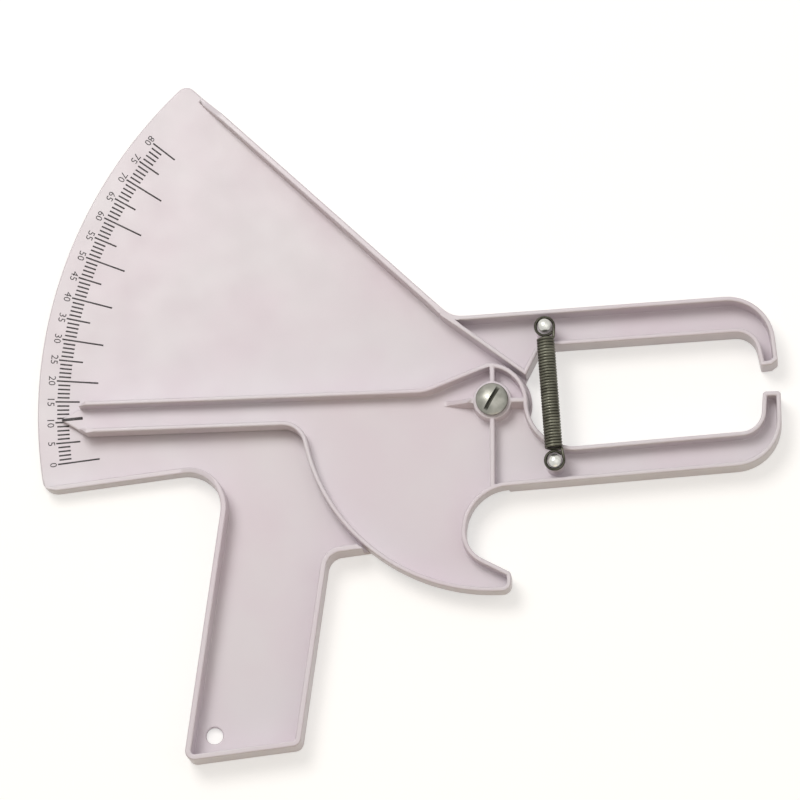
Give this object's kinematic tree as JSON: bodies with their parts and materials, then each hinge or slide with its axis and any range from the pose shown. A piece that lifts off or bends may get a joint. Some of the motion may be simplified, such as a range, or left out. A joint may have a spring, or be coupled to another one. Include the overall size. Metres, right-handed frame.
{
  "type": "skinfold caliper",
  "caption": "Pistol-grip skinfold caliper with a fixed jaw, a sector scale and a sprung trigger lever that carries the moving jaw and the pointer.",
  "frame": {"origin": "lever pivot axis on the flat back of the frame", "axes": "+X towards the jaws, +Y up with the handle pointing to -Y, +Z from the flat back to the side with the scale"},
  "size_m": [0.2812, 0.2608, 0.0201],
  "materials": {
    "frame_plastic": "white moulded plastic with a soft sheen",
    "lever_plastic": "white moulded plastic with a soft sheen",
    "nylon": "natural nylon",
    "brass": "turned",
    "steel": "zinc plated",
    "spring_steel": "oiled spring wire"
  },
  "bodies": {
    "frame": {"frame": "frame_plastic", "pivot_screw": "steel", "threaded_insert": "brass", "slip_washer": "nylon", "head_washer": "steel", "upper_spring_post": "steel"},
    "lever": {"lever": "lever_plastic", "lower_spring_post": "steel"},
    "spring_upper": {"spring_coil": "spring_steel"},
    "spring_lower": {"spring_lower_hook": "spring_steel"}
  },
  "joints": [
    {"name": "lever_pivot", "type": "hinge", "parent": "frame", "child": "lever", "pos_m": [0, 0, 0.008], "axis": [0, 0, -1], "range_deg": [-5.37, 39.9], "stiffness_Nm_per_rad": 0.3, "springref_deg": -28.65},
    {"name": "spring_swing", "type": "hinge", "parent": "frame", "child": "spring_upper", "pos_m": [0.01997, 0.02739, 0.0168], "axis": [0, 0, -1], "range_deg": [-2.8, 20.1]},
    {"name": "spring_stretch", "type": "slide", "parent": "spring_upper", "child": "spring_lower", "axis": [0.0689, -0.9976, 0], "range_m": [-0.0018, 0.0125]}
  ],
  "couplings": [
    {"joint": "spring_swing", "follows": "lever_pivot", "ratio": 0.5},
    {"joint": "spring_stretch", "follows": "lever_pivot", "m_per_rad": 0.0177}
  ]
}
